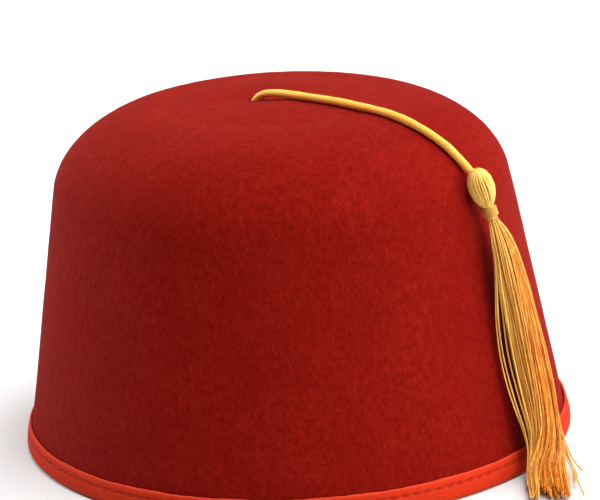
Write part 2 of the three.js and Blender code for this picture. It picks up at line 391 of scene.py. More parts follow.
def cordFinish():
    material, nodes = newFinish("goldCordBraid")
    place = uvPlace(nodes)
    fine = nodes.noise(nodes.scaled(place, (90.0, 900.0, 1.0)), 1.0, 2.0)
    patch = nodes.noise(objectPlace(nodes), 160.0, 2.0)
    relief = attribute(nodes, "braidRelief")
    # painted shade: the braid's low relief, where threads dip under, takes the darker colour and the
    # raised threads the lighter one
    grooveShade = nodes.mix(patch, (0.60, 0.230, 0.014, 1.0), (0.66, 0.280, 0.022, 1.0))
    light = nodes.mix(fine, (0.85, 0.445, 0.045, 1.0), (0.93, 0.545, 0.082, 1.0))
    color = nodes.mix(nodes.ramp(relief, (0.1, 0.0), (0.62, 1.0)), grooveShade, light)
    roughness = 0.50 + 0.18 * fine - 0.08 * relief
    closeFinish(nodes, color, roughness, fine + 1.5 * relief, 0.00012, 0.6,
                {"Specular IOR Level": 0.35, **yarnGlow})
    return material


# braided sheath: two families of thread cross each other on the cord's surface
def makeCord(cord):
    line = evenLine(smoothLine(cord["route"], 24), cord["rings"])
    length = lineLength(line)
    radius = cord["diameter"] / 2
    rings = []
    reliefs = []
    for i, (point, forward, side, up) in enumerate(lineFrames(line, Vector((1.0, 0.0, 0.0)))):
        ring = []
        lead = 2 * math.pi * (length * i / cord["rings"]) / cord["lay"]
        soft = 1 + cord["lumps"] * (math.sin(0.41 * lead + 1.3) + 0.6 * math.sin(1.07 * lead) - 0.3)
        for j in range(cord["sides"]):
            turn = 2 * math.pi * j / cord["sides"]
            one = abs(math.cos(cord["carriers"] / 2 * (turn + lead)))
            two = abs(math.cos(cord["carriers"] / 2 * (turn - lead)))
            over = math.sin(cord["carriers"] / 2 * lead) > 0
            relief = max(one, cord["under"] * two) if over else max(two, cord["under"] * one)
            reach = radius * soft * (1 + cord["relief"] * (relief - 0.75))
            ring.append(point + side * reach * math.cos(turn) + up * reach * math.sin(turn))
            reliefs.append(relief)
        rings.append(ring)
    mesh = ringMesh("cordBraid", rings)
    stored = mesh.attributes.new("braidRelief", "FLOAT", "POINT")
    stored.data.foreach_set("value", reliefs)
    return mesh, line, length


cordMesh, cordLine, cordLength = makeCord(goldCord)
cordPiece = finishPiece("braidedCord", cordMesh, "cord", "cord", material=cordFinish())
print("cord is", round(cordLength * 1000, 1), "mm long")

# felt crown: its outer skin follows one rule, and the wall's thickness is added afterwards
feltCrown = {
    "rimRadius": 0.094,
    "oval": 0.03,
    "slope": math.radians(10.17),
    "shoulderStart": 0.0903,
    "shoulderRise": 0.02615,
    "shoulderReach": 0.036,
    "domeRise": 0.003,
    "thickness": 0.0025,
    "base": 0.0011,
    "around": 264,
    "along": 100,
    "wallRows": 24,
    "shoulderRows": 40,
    "topRows": 20,
    "dimplePlace": (-0.0062, 0.0027),
    "dimpleDepth": 0.002,
    "dimpleReach": (0.010, 0.007),
    "dimpleTurn": math.radians(137.4),
    "waveHeight": 0.0007,
    "napHeight": 0.00022,
    "holeRadius": 0.00165,
    "holeRows": (1, 6),  # the rows of the cord's route that the hole follows
    "holeSides": 28,
}


def wallRadius(z):
    return feltCrown["rimRadius"] - z * math.tan(feltCrown["slope"])


def ovalFactor(angle):
    return 1 + feltCrown["oval"] * math.cos(2 * (angle - math.pi / 2))


# radius and height from the felt's lower edge to the middle of the top
def crownProfile(crown):
    rows = []
    for i in range(crown["wallRows"]):
        z = crown["base"] + (crown["shoulderStart"] - crown["base"]) * i / crown["wallRows"]
        rows.append((wallRadius(z), z))
    for i in range(crown["shoulderRows"] + 1):
        turn = math.pi / 2 * i / crown["shoulderRows"]
        inward = crown["shoulderReach"] * (1 - math.cos(turn))
        inward += math.tan(crown["slope"]) * crown["shoulderRise"] * math.sin(turn)
        height = crown["shoulderStart"] + crown["shoulderRise"] * math.sin(turn)
        rows.append((wallRadius(crown["shoulderStart"]) - inward, height))
    edge, top = rows[-1]
    for i in range(1, crown["topRows"] + 1):
        share = 1 - i / crown["topRows"]
        rows.append((edge * share, top + crown["domeRise"] * (1 - share * share)))
    return rows


def crownGroup():
    inputs = [
        ("Profile", "Object"), ("Around", "Int"), ("Along", "Int"), ("Oval", "Float"),
        ("Dimple X", "Float"), ("Dimple Y", "Float"), ("Dimple Depth", "Float"),
        ("Dimple Along", "Float"), ("Dimple Across", "Float"), ("Dimple Turn", "Float"),
        ("Wave Height", "Float"), ("Nap Height", "Float"), ("Material", "Material"),
    ]
    group, nodes, value = newGroup("feltCrownShape", inputs)
    grid = nodes.add("GeometryNodeMeshGrid", None, {
        "Size X": 1.0, "Size Y": 1.0, "Vertices X": value["Around"], "Vertices Y": value["Along"]})
    place = nodes.add("GeometryNodeInputPosition")
    parts = nodes.add("ShaderNodeSeparateXYZ", None, {0: place}).socket.node
    around = (Wire(nodes, parts.outputs[0]) + 0.5) * (2 * math.pi)
    along = Wire(nodes, parts.outputs[1]) + 0.5
    profile = nodes.add("GeometryNodeObjectInfo", None, {"Object": value["Profile"]}, "Geometry")
    sample = nodes.add("GeometryNodeSampleCurve", {"mode": "FACTOR", "use_all_curves": True},
                       {"Curves": profile, "Factor": along}, "Position")
    spot = nodes.add("ShaderNodeSeparateXYZ", None, {0: sample}).socket.node
    oval = 1 + value["Oval"] * nodes.math("COSINE", 2 * around - math.pi)
    reach = Wire(nodes, spot.outputs[0]) * oval
    x = reach * nodes.math("COSINE", around)
    y = reach * nodes.math("SINE", around)
    dx, dy = x - value["Dimple X"], y - value["Dimple Y"]
    cosine, sine = nodes.math("COSINE", value["Dimple Turn"]), nodes.math("SINE", value["Dimple Turn"])
    lengthwise = (dx * cosine + dy * sine) / value["Dimple Along"]
    crosswise = (dy * cosine - dx * sine) / value["Dimple Across"]
    falloff = nodes.math("EXPONENT", (lengthwise * lengthwise + crosswise * crosswise) * -0.5)
    z = Wire(nodes, spot.outputs[2]) - value["Dimple Depth"] * falloff
    shaped = nodes.add("ShaderNodeCombineXYZ", None, {0: x, 1: y, 2: z})
    skin = nodes.add("GeometryNodeSetPosition", None, {"Geometry": grid, "Position": shaped})
    merged = nodes.add("GeometryNodeMergeByDistance", None, {"Geometry": skin, "Distance": 0.000002})
    wave = nodes.noise(place, 28.0, 1.0) - 0.5
    nap = nodes.noise(place, 210.0, 2.0) - 0.5
    lift = wave * value["Wave Height"] + nap * value["Nap Height"]
    normal = nodes.add("GeometryNodeInputNormal")
    offset = nodes.add("ShaderNodeVectorMath", {"operation": "SCALE"}, {0: normal, "Scale": lift})
    felted = nodes.add("GeometryNodeSetPosition", None, {"Geometry": merged, "Offset": offset})
    closeGroup(nodes, felted, value["Material"])
    return group


def feltFinish():
    material, nodes = newFinish("redFelt")
    place = objectPlace(nodes)
    cloud = nodes.noise(place, 55.0, 3.0)
    clump = nodes.noise(place, 390.0, 3.0, 0.62)
    fibre = nodes.noise(nodes.scaled(place, (1.0, 1.0, 0.5)), 1050.0, 3.0, 0.6)
    fleck = nodes.ramp(nodes.noise(place, 760.0, 2.0), (0.30, 1.0), (0.43, 0.0))
    drift = nodes.ramp(cloud, (0.3, 0.0), (0.7, 1.0))
    base = nodes.mix(drift, (0.180, 0.0038, 0.0015, 1.0), (0.219, 0.0060, 0.0029, 1.0))
    mottled = nodes.mix(nodes.ramp(clump, (0.36, 0.0), (0.64, 1.0)), (0.164, 0.0030, 0.0013, 1.0), base)
    lit = nodes.mix(nodes.ramp(fibre, (0.52, 0.0), (0.74, 0.34)), mottled, (0.30, 0.017, 0.011, 1.0))
    color = nodes.mix(0.30 * fleck, lit, (0.100, 0.0022, 0.0014, 1.0))
    height = 0.65 * clump + 0.35 * fibre
    closeFinish(nodes, color, 0.92 + 0.06 * fibre, height, 0.0007, 0.85, {
        "Specular IOR Level": 0.03, "Sheen Weight": 0.07, "Sheen Roughness": 0.5,
        "Sheen Tint": (1.0, 0.22, 0.18, 1.0)})
    return material


# the hole follows the cord through the felt, so that its edge closes round the cord
def holeCutter(crown):
    first, last = crown["holeRows"]
    line = smoothLine(goldCord["route"][first:last + 1], 6)
    rings = []
    for point, forward, side, up in lineFrames(line, Vector((1.0, 0.0, 0.0))):
        ring = []
        for i in range(crown["holeSides"]):
            turn = 2 * math.pi * i / crown["holeSides"]
            ring.append(point + (side * math.cos(turn) + up * math.sin(turn)) * crown["holeRadius"])
        rings.append(ring)
    return link("cordHole", ringMesh("cordHole", rings))


def makeCrown(crown):
    profile = polyCurve("crownProfile", [[(radius, 0.0, z) for radius, z in crownProfile(crown)]])
    material = feltFinish()
    skin = growMesh("feltSkin", crownGroup(), {
        "Profile": profile, "Around": crown["around"] + 1, "Along": crown["along"] + 1,
        "Oval": crown["oval"], "Dimple X": crown["dimplePlace"][0], "Dimple Y": crown["dimplePlace"][1],
        "Dimple Depth": crown["dimpleDepth"], "Dimple Along": crown["dimpleReach"][0],
        "Dimple Across": crown["dimpleReach"][1], "Dimple Turn": crown["dimpleTurn"],
        "Wave Height": crown["waveHeight"], "Nap Height": crown["napHeight"], "Material": material,
    }, [profile])
    wall = link("feltWall", skin)
    thick = wall.modifiers.new("thickness", "SOLIDIFY")
    thick.thickness = crown["thickness"]
    thick.offset = -1.0
    cutter = holeCutter(crown)
    hole = wall.modifiers.new("hole", "BOOLEAN")
    hole.operation = "DIFFERENCE"
    hole.solver = "EXACT"
    hole.object = cutter
    mesh = evaluatedMesh(wall, "feltCrown")
    bpy.data.objects.remove(wall)
    bpy.data.objects.remove(cutter)
    finishPiece("feltCrown", mesh, "felt", "crown", material=material)


makeCrown(feltCrown)

# tape folded round the rim, and its row of stitches
rimTape = {
    "thickness": 0.0008,
    "gap": 0.0003,
    "outside": 0.0076,
    "inside": 0.0068,
    "foldRound": 0.0010,
    "stitchLine": 0.0050,
    "stitchCount": 150,
    "stitchLength": 0.0027,
    "threadRadius": 0.00022,
    "around": 1200,
    "edgeWave": 0.00018,
    "pillow": 0.00028,
    "outerDent": (0.00022, 0.00022),  # along the whole seam, and more where a stitch pulls
    "innerDent": (0.0001, 0.0002),
    "dentReach": 0.00045,
    # darkReach: width of the painted shade along the stitch dents
    "darkReach": 0.0004,
    # edgeReach and foldReach: widths of the painted highlights along the top fold edge and the lower fold
    "edgeReach": 0.0006,
    "foldReach": 0.0008,
    "stitchSlant": 0.06,
    "pathPoints": 900,
}


def seamDent(tape, depths, pull, z):
    return (depths[0] + depths[1] * pull) * math.exp(-((z - tape["stitchLine"]) / tape["dentReach"]) ** 2)


# closed outline of the folded tape, as distance out from the felt and height
def tapeSection(tape, share):
    turn = 2 * math.pi * share
    pull = 0.5 + 0.5 * math.cos(turn * tape["stitchCount"])
    wave = math.sin(17 * turn + 1.0) * 0.5 + math.sin(41 * turn) * 0.3 + math.sin(97 * turn + 2.0) * 0.2
    out = tape["gap"] + tape["thickness"]
    back = feltCrown["thickness"] + tape["gap"]
    top = tape["outside"] + tape["edgeWave"] * wave
    low = tape["inside"] + tape["edgeWave"] * math.sin(23 * turn + 0.5)
    corner = tape["foldRound"]
    rows = [(-back * 0.5, 0.0), (out - corner, 0.0)]
    for i in range(1, 5):
        rise = math.pi / 2 * i / 4
        rows.append((out - corner * (1 - math.sin(rise)), corner * (1 - math.cos(rise))))
    for i in range(1, 17):
        z = corner + (top - 0.0006 - corner) * i / 16
        pillow = tape["pillow"] * math.sin(math.pi * min(z / top, 1.0))
        dent = seamDent(tape, tape["outerDent"], pull, z)
        rows.append((out + pillow - dent, z))
    rows.extend([(out + 0.00004, top - 0.00025), (out - 0.0002, top), (tape["gap"] + 0.0002, top)])
    rows.extend([(tape["gap"], top - 0.0003), (tape["gap"], tape["thickness"] + 0.0002)])
    rows.extend([(-back * 0.5, tape["thickness"]), (-back, tape["thickness"] + 0.0002)])
    rows.extend([(-back, low - 0.0003), (-back - 0.0002, low), (-back - tape["thickness"] + 0.0002, low)])
    for i in range(10):
        z = low - 0.0003 + (corner - low + 0.0003) * i / 9
        dent = seamDent(tape, tape["innerDent"], pull, z)
        rows.append((-back - tape["thickness"] + dent, z))
    for i in range(1, 5):
        fall = math.pi / 2 * i / 4
        edge = -back - tape["thickness"] + corner
        rows.append((edge - corner * math.cos(fall), corner * (1 - math.sin(fall))))
    return rows


def rimPoint(share, out, z):
    angle = 2 * math.pi * share
    reach = (wallRadius(z) + out / math.cos(feltCrown["slope"])) * ovalFactor(angle)
    return Vector((reach * math.cos(angle), reach * math.sin(angle), z))


def tapeFinish():
    material, nodes = newFinish("redTape")
    place = uvPlace(nodes)
    parts = nodes.add("ShaderNodeSeparateXYZ", None, {0: place}).socket.node
    across, along = Wire(nodes, parts.outputs[0]), Wire(nodes, parts.outputs[1])
    warp = nodes.math("SINE", (along * 1400.0 + across * 44.0) * (2 * math.pi))
    weft = nodes.math("SINE", (along * 1400.0 - across * 44.0) * (2 * math.pi))
    weave = warp * weft * 0.5 + 0.5
    patch = nodes.noise(objectPlace(nodes), 130.0, 3.0)
    fleck = nodes.noise(objectPlace(nodes), 1100.0, 2.0)
    edge = attribute(nodes, "foldEdge")
    seamShade = attribute(nodes, "stitchDent")
    base = nodes.mix(patch, (0.46, 0.021, 0.004, 1.0), (0.54, 0.029, 0.006, 1.0))
    woven = nodes.mix(0.30 * weave, base, (0.60, 0.038, 0.009, 1.0))
    specked = nodes.mix(nodes.ramp(fleck, (0.30, 0.45), (0.45, 0.0)), woven, (0.30, 0.008, 0.004, 1.0))
    # painted highlight: lighter colour along the top fold edge and, weaker, along the lower fold
    foldHighlit = nodes.mix(0.55 * edge, specked, (0.66, 0.062, 0.024, 1.0))
    # painted shade: darker colour in the dents where the stitches pull the tape in
    color = nodes.mix(0.5 * seamShade, foldHighlit, (0.20, 0.005, 0.003, 1.0))
    closeFinish(nodes, color, 0.70 + 0.12 * weave, weave + 0.8 * fleck, 0.00010, 0.6, {
        "Specular IOR Level": 0.05, "Sheen Weight": 0.01, "Sheen Roughness": 0.4})
    return material


def makeTape(tape):
    rings = []
    foldHighlights = []
    seamShades = []
    for i in range(tape["around"]):
        share = i / tape["around"]
        pull = 0.5 + 0.5 * math.cos(2 * math.pi * share * tape["stitchCount"])
        rows = tapeSection(tape, share)
        rings.append([rimPoint(share, out, z) for out, z in rows])
        for out, z in rows:
            top = tape["outside"] if out > 0 else tape["inside"]
            fold = math.exp(-(z / tape["foldReach"]) ** 2)
            # mask of the painted highlight along the top fold edge and the lower fold
            foldHighlights.append(math.exp(-((z - top) / tape["edgeReach"]) ** 2) + 0.35 * fold)
            # mask of the painted shade in the stitch dents
            seamShades.append(pull * math.exp(-((z - tape["stitchLine"]) / tape["darkReach"]) ** 2))
    mesh = ringMesh("rimTape", rings, closed=True)
    for name, values in (("foldEdge", foldHighlights), ("stitchDent", seamShades)):
        mesh.attributes.new(name, "FLOAT", "POINT").data.foreach_set("value", values)
    return finishPiece("foldedRimTape", mesh, "tape", "rim_binding", material=tapeFinish())


def threadFinish():
    material, nodes = newFinish("redThread")
    place = objectPlace(nodes)
    twist = nodes.noise(nodes.scaled(place, (1.0, 1.0, 2.5)), 2600.0, 2.0)
    # painted shade: the thread is coloured darker than the tape, though it is the same red, to stand in
    # for the shade of the sunk stitches
    color = nodes.mix(twist, (0.22, 0.006, 0.004, 1.0), (0.40, 0.016, 0.008, 1.0))
    closeFinish(nodes, color, 0.55 + 0.2 * twist, twist, 0.00005, 0.5, {"Specular IOR Level": 0.2})
    return material


def stitchGroup():
    inputs = [("Path", "Object"), ("Count", "Int"), ("Length", "Float"), ("Thread Radius", "Float"),
              ("Slant", "Float"), ("Material", "Material")]
    group, nodes, value = newGroup("rimStitches", inputs)
    path = nodes.add("GeometryNodeObjectInfo", None, {"Object": value["Path"]}, "Geometry")
    points = nodes.add("GeometryNodeCurveToPoints", {"mode": "COUNT"},
                       {"Curve": path, "Count": value["Count"]})
    turn = Wire(nodes, points.socket.node.outputs["Rotation"])
    slant = nodes.add("ShaderNodeCombineXYZ", None, {0: value["Slant"]})
    leaned = nodes.add("FunctionNodeRotateRotation", {"rotation_space": "LOCAL"},
                       {0: turn, 1: nodes.add("FunctionNodeEulerToRotation", None, {0: slant})})
    ball = nodes.add("GeometryNodeMeshUVSphere", None, {"Segments": 6, "Rings": 5, "Radius": 1.0})
    size = nodes.add("ShaderNodeCombineXYZ", None, {
        0: value["Thread Radius"], 1: value["Thread Radius"], 2: value["Length"] * 0.5})
    placed = nodes.add("GeometryNodeInstanceOnPoints", None, {
        "Points": points, "Instance": ball, "Rotation": leaned, "Scale": size})
    closeGroup(nodes, placed, value["Material"])
    return group


def makeStitches(tape):
    group = stitchGroup()
    material = threadFinish()
    outer = tape["gap"] + tape["thickness"] - 0.00002
    inner = -feltCrown["thickness"] - tape["gap"] - tape["thickness"] + 0.00006
    for name, out in (("outerStitches", outer), ("innerStitches", inner)):
        count = tape["pathPoints"]
        ring = [rimPoint(i / count, out, tape["stitchLine"]) for i in range(count)]
        path = polyCurve(name + "Path", [ring], closed=True)
        mesh = growMesh(name, group, {
            "Path": path, "Count": tape["stitchCount"], "Length": tape["stitchLength"],
            "Thread Radius": tape["threadRadius"], "Slant": tape["stitchSlant"],
            "Material": material}, [path])
        finishPiece(name, mesh, "tape", material=material)


tapePiece = makeTape(rimTape)
makeStitches(rimTape)

# tassel: ribbed head, wound neck and skirt of strands, along the solid's own sections
tassel = {
    "headCentre": (0.0119, -0.08305, 0.0952),
    "headAxis": (0.2, -0.185, -0.962),
    "headMiddle": 0.0064,
    "headRows": (
        (0.0000, 0.0012), (0.0005, 0.0021), (0.0017, 0.0033), (0.0040, 0.0041), (0.0067, 0.00425),
        (0.0094, 0.00375), (0.0115, 0.0028), (0.0129, 0.0018), (0.0172, 0.00165),
    ),
    "headStrands": 44,
    "headStrandRadius": 0.00034,
    "headSteps": 26,
    "coreInset": 0.00075,
    "coreSteps": 24,
    "coreSides": 40,
    "windingFrom": 0.0133,
    "windingTurns": 6,
    "windingThread": 0.00026,
    "windingRadius": 0.0020,
    "skirtRows": (
        # x, y, z, half width, half depth, lock thickness, lift off the wall onto the table
        (0.01386, -0.08486, 0.0858, 0.0007, 0.0007, 0.0009, 0.0),
        (0.01445, -0.08545, 0.0829, 0.0012, 0.0012, 0.0011, 0.0),
        (0.0151, -0.0871, 0.0785, 0.0029, 0.0020, 0.0015, 0.0),
        (0.0157, -0.0886, 0.0720, 0.0039, 0.0028, 0.0018, 0.0),
        (0.0162, -0.0904, 0.0630, 0.0048, 0.0032, 0.0020, 0.0),
        (0.0169, -0.0925, 0.0520, 0.0053, 0.0034, 0.0021, 0.0),
        (0.0175, -0.0947, 0.0400, 0.0056, 0.0035, 0.0021, 0.0),
        (0.0180, -0.0972, 0.0270, 0.0057, 0.0035, 0.0021, 0.0),
        (0.0174, -0.1000, 0.0150, 0.0058, 0.0032, 0.0020, 0.15),
        (0.0150, -0.1036, 0.0070, 0.0058, 0.0024, 0.0018, 0.5),
        (0.0102, -0.1083, 0.0032, 0.0056, 0.0013, 0.0016, 0.9),
        (0.0040, -0.1144, 0.0022, 0.0058, 0.0008, 0.0013, 1.0),
        (-0.0030, -0.1214, 0.0015, 0.0064, 0.0005, 0.0007, 1.0),
    ),
    "outerLocks": 15,
    "innerLocks": 7,
    "outerReach": (0.86, 1.04),
    "innerReach": 0.5,
    "lockTwist": 3.5,
    "lockSway": (0.0002, 0.0008),
    "lockSpread": (0.55, 1.0),
    "longLocks": (0.93, 1.0),  # as shares of the skirt's length
    "shortLocks": (0.86, 0.94),
    "longShare": 0.65,
    "lengthScatter": 0.016,
    "swayWave": 8,
    "curl": 0.00013,
    "curlWaves": (17, 15),
    "freeFrom": 0.12,  # the strands are held together above this share of the way down
    "freeOver": 0.2,
    "paleFrom": 0.6,
    "paleMost": 0.7,
    "strandsPerLock": 38,
    "strandRadius": 0.00017,
    "strandPoints": 34,
    "strays": (
        # across, out, bulge sideways, lean to the wall, splay on the table, rows
        (-1.00, -0.3, -0.0024, -0.0036, 0.0000, 13),
        (-1.02, -0.2, -0.0018, -0.0030, -0.0004, 12),
        (-0.95, -0.1, -0.0004, -0.0024, 0.0003, 13),
        (-0.98, 0.2, -0.0010, -0.0012, 0.0000, 12),
        (1.00, 0.3, 0.0006, 0.0000, 0.0076, 11),
        (1.02, 0.3, 0.0006, 0.0000, 0.0070, 11),
        (1.02, 0.1, 0.0004, 0.0000, 0.0030, 13),
        (1.00, 0.5, 0.0003, 0.0002, 0.0022, 12),
        (1.02, 0.0, 0.0008, 0.0002, 0.0012, 12),
    ),
    "strayStrands": 3,
    "straySwell": (0.24, 0.54),  # where the strays bulge, and where they fan out
    "strayFan": (0.58, 0.42),
    "strayGap": 0.00014,
    "seed": 7,
}


def strandFinish(name, shade, light):
    material, nodes = newFinish(name)
    place = objectPlace(nodes)
    tone = attribute(nodes, "strandTone")
    highlightStreak = nodes.noise(nodes.scaled(place, (1.0, 1.0, 0.08)), 1300.0, 2.0)
    fine = nodes.noise(nodes.scaled(place, (1.0, 1.0, 0.3)), 3200.0, 2.0)
    base = nodes.mix(nodes.ramp(tone, (0.0, 0.0), (0.55, 0.45), (1.0, 1.0)), shade, light)
    # painted highlight: pale streaks along the strands
    highlighted = nodes.mix(nodes.ramp(highlightStreak, (0.46, 0.0), (0.70, 0.75)), base, (0.94, 0.53, 0.080, 1.0))
    # paler colour on the edge locks and the strays, and painted light on the upper half of each strand
    color = nodes.mix(0.7 * attribute(nodes, "strandPale"), highlighted, (0.95, 0.58, 0.120, 1.0))
    roughness = 0.38 + 0.22 * fine
    closeFinish(nodes, color, roughness, fine, 0.00005, 0.4, {
        "Specular IOR Level": 0.28, "Sheen Weight": 0.02, "Sheen Roughness": 0.4})
    return material


# strands along curves; the radius and a tone per strand come from the group
def strandGroup():
    inputs = [("Strands", "Object"), ("Radius", "Float"), ("Sides", "Int"), ("Seed", "Int"),
              ("Material", "Material")]
    group, nodes, value = newGroup("tasselStrands", inputs)
    lines = nodes.add("GeometryNodeObjectInfo", None, {"Object": value["Strands"]}, "Geometry")
    draw = nodes.add("FunctionNodeRandomValue", {"data_type": "FLOAT"},
                     {2: 0.0, 3: 1.0, "Seed": value["Seed"]}, 1)
    toned = nodes.add("GeometryNodeStoreNamedAttribute", {"data_type": "FLOAT", "domain": "CURVE"},
                      {"Geometry": lines, "Name": "strandTone", "Value": draw})
    size = nodes.add("FunctionNodeRandomValue", {"data_type": "FLOAT"},
                     {2: 0.8, 3: 1.15, "Seed": value["Seed"] + 1}, 1)
    ring = nodes.add("GeometryNodeCurvePrimitiveCircle", {"mode": "RADIUS"},
                     {"Resolution": value["Sides"], "Radius": 1.0})
    sized = nodes.add("GeometryNodeSetCurveRadius", None, {"Curve": toned, "Radius": 1.0})
    tube = nodes.add("GeometryNodeCurveToMesh", None, {
        "Curve": sized, "Profile Curve": ring, "Scale": value["Radius"] * size, "Fill Caps": True})
    closeGroup(nodes, tube, value["Material"])
    return group


def skirtSections(rows):
    middles = [Vector(row[:3]) for row in rows]
    sections = []
    for i, (x, y, z, wide, deep, thick, lift) in enumerate(rows):
        along = (middles[min(i + 1, len(rows) - 1)] - middles[max(i - 1, 0)]).normalized()
        face = Vector((x, y, 0.0)).normalized() * (1 - lift) + Vector((0.0, 0.0, lift))
        face = (face - along * face.dot(along)).normalized()
        sections.append((middles[i], face.cross(along), face, wide, deep, thick))
    return sections


# a point of the skirt beside the middle of a section, in lengths across and away from the hat
def besideMiddle(section, across, out):
    middle, side, face = section[:3]
    return middle + side * across + face * out


# one strand of a lock: the strands turn slowly about the lock's middle, which sways on its way down
def strandLine(look, sections, lock, strand, lowest):
    points = []
    for i, section in enumerate(sections):
        share = i / (len(sections) - 1)
        wide, deep, thick = section[3:]
        free = min(max((share - look["freeFrom"]) / look["freeOver"], 0.0), 1.0)
        turn = strand["turn"] + lock["twist"] * share
        across = lock["across"] * wide + strand["reach"] * thick * math.cos(turn)
        out = lock["out"] * deep + strand["reach"] * thick * math.sin(turn)
        across += free * lock["sway"] * math.sin(lock["phase"] + look["swayWave"] * share)
        across += free * strand["curl"] * math.sin(strand["phase"] + look["curlWaves"][0] * share)
        out += free * strand["curl"] * math.cos(strand["phase"] + look["curlWaves"][1] * share)
        points.append(besideMiddle(section, across, out))
    for point in points:
        point.z = max(point.z, lowest)
    line = smoothLine(points, 12)
    return line[:max(round(len(line) * strand["length"]), 2)]


# a few strands that stand apart from the rest, side by side
def strayLine(look, sections, stray, beside, lowest):
    across, out, bulge, lean, splay, rows = stray
    swellFrom, swellOver = look["straySwell"]
    fanFrom, fanOver = look["strayFan"]
    points = []
    for i, section in enumerate(sections[:rows]):
        share = i / (len(sections) - 1)
        wide, deep, thick = section[3:]
        swell = math.sin(math.pi * min(max((share - swellFrom) / swellOver, 0.0), 1.0)) ** 2
        fan = max((share - fanFrom) / fanOver, 0.0) ** 1.3
        wave = 0.0003 * math.sin(across * 40 + 21 * share) * swell + 0.0004 * math.sin(25 * share) * fan
        turn = 2.1 * beside + 9 * share
        wave += look["strayGap"] * math.cos(turn)
        point = besideMiddle(section, across * (wide + 0.8 * thick) + bulge * swell + splay * fan + wave,
                             out * deep + lean * swell + look["strayGap"] * math.sin(turn))
        point.z = max(point.z, lowest)
        points.append(point)
    return points


def makeSkirt(look, group):
    draw = random.Random(look["seed"])
    sections = skirtSections(look["skirtRows"])
    lowest = look["strandRadius"] * 1.3 + 0.00015
    places = []
    for i in range(look["outerLocks"]):
        turn = 2 * math.pi * (i + draw.uniform(-0.3, 0.3)) / look["outerLocks"]
        reach = draw.uniform(*look["outerReach"])
        places.append((reach * math.cos(turn), reach * math.sin(turn)))
    for i in range(look["innerLocks"]):
        turn = 2 * math.pi * i / look["innerLocks"]
        places.append((look["innerReach"] * math.cos(turn), look["innerReach"] * math.sin(turn)))
    lines = []
    pales = []
    for across, out in places:
        lock = {"across": across, "out": out, "twist": draw.uniform(-look["lockTwist"], look["lockTwist"]),
                "sway": draw.uniform(*look["lockSway"]), "phase": draw.uniform(0, 6.3)}
        spread = draw.uniform(*look["lockSpread"])
        long = draw.random() < look["longShare"]
        lockLength = draw.uniform(*look["longLocks" if long else "shortLocks"])
        edge = (abs(across) - look["paleFrom"]) / (1 - look["paleFrom"])
        pale = look["paleMost"] * min(max(edge, 0.0), 1.0)
        for i in range(look["strandsPerLock"]):
            strand = {"turn": draw.uniform(0, 6.3), "reach": math.sqrt(draw.random()) * spread,
                      "curl": draw.gauss(0, look["curl"]), "phase": draw.uniform(0, 6.3),
                      "length": min(lockLength + draw.gauss(0, look["lengthScatter"]), 1.0)}
            line = strandLine(look, sections, lock, strand, lowest)
            lines.append(evenLine(line, look["strandPoints"]))
            pales.append(pale)
    for stray in look["strays"]:
        for beside in range(look["strayStrands"]):
            line = strayLine(look, sections, stray, beside, lowest)
            lines.append(evenLine(smoothLine(line, 6), look["strandPoints"]))
            pales.append(1.0)
    curves = polyCurve("skirtLines", lines)
    material = strandFinish("goldStrands", (0.55, 0.112, 0.0026, 1.0), (0.86, 0.285, 0.012, 1.0))
    mesh = growMesh("tasselSkirt", group, {
        "Strands": curves, "Radius": look["strandRadius"], "Sides": 3, "Seed": look["seed"],
        "Material": material}, [curves])
    perStrand = len(mesh.vertices) // len(lines)  # the upper half of each strand is paler
    # painted light: the upper half of each strand also gets the pale colour, brightening the upper skirt
    upperLight = [max(0.5 - i / perStrand, 0.0) for i in range(perStrand)]
    stored = mesh.attributes.new("strandPale", "FLOAT", "POINT")
    stored.data.foreach_set("value", [min(pale + upperLit, 1.0) for pale in pales for upperLit in upperLight])
    finishPiece("tasselSkirt", mesh, "tassel", "tassel", material=material)


def headTurn(look):
    axis = Vector(look["headAxis"]).normalized()
    top = Vector(look["headCentre"]) - axis * look["headMiddle"]
    return top, axis, axis.to_track_quat("Z", "Y")


def headRadius(look, down):
    rows = look["headRows"]
    for (start, first), (stop, last) in zip(rows, rows[1:]):
        if down <= stop:
            share = (down - start) / (stop - start)
            share = share * share * (3 - 2 * share) * 0.3 + share * 0.7
            return first + (last - first) * share
    return rows[-1][1]


